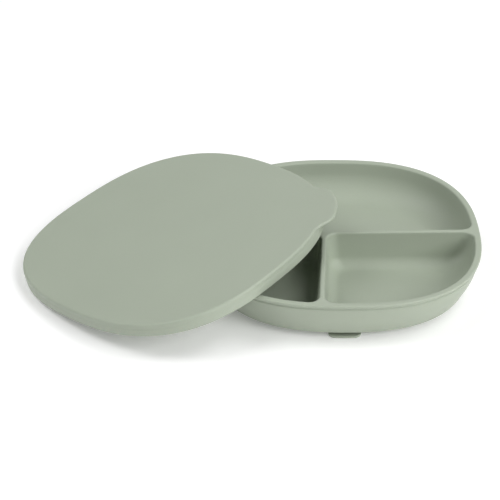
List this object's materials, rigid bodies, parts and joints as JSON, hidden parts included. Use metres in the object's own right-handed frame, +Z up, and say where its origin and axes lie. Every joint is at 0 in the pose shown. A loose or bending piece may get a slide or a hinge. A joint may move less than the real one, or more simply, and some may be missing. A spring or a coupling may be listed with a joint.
{
  "type": "suction bowl",
  "caption": "Rounded-square silicone feeding bowl with food compartments, a round suction base with a release tab, and a press-on lid with a corner pull tab leaning on its rim.",
  "frame": {"origin": "on the table, in the middle of the footprint of the bowl with its lid leaning on it", "axes": "+Z up, +X from the lid towards the bowl, +Y towards the back of the bowl, where its full-width compartment is"},
  "size_m": [0.3274, 0.2202, 0.057],
  "materials": {
    "bowl_silicone": "matte sage green silicone",
    "base_silicone": "matte sage green silicone",
    "lid_silicone": "matte sage green silicone, slightly powdery"
  },
  "bodies": {
    "bowl": {"bowl_body": "bowl_silicone"},
    "suction_base": {"suction_base": "base_silicone"},
    "release_tab": {"release_tab": "base_silicone"},
    "lid": {"lid": "lid_silicone"},
    "lid_pull_tab": {"lid_pull_tab": "lid_silicone"}
  },
  "joints": [
    {"name": "suction_press", "type": "slide", "parent": "bowl", "child": "suction_base", "axis": [0, 0, 1], "range_m": [0, 0.001], "stiffness_N_per_m": 2000, "springref_m": -0.004},
    {"name": "release_flex", "type": "hinge", "parent": "suction_base", "child": "release_tab", "pos_m": [0.06509, -0.06448, 0], "axis": [-0.9998, -0.0209, 0], "range_deg": [0, 4], "stiffness_Nm_per_rad": 0.004, "springref_deg": -5.73},
    {"name": "lid_lift", "type": "slide", "parent": "bowl", "child": "lid", "axis": [0, 0, 1], "range_m": [0, 0.12]},
    {"name": "lid_tab_flex", "type": "hinge", "parent": "lid", "child": "lid_pull_tab", "pos_m": [0.05152, 0.00188, 0.05487], "axis": [0.0132, -0.9998, -0.0179], "range_deg": [0, 50], "stiffness_Nm_per_rad": 0.004, "springref_deg": -11.46}
  ]
}
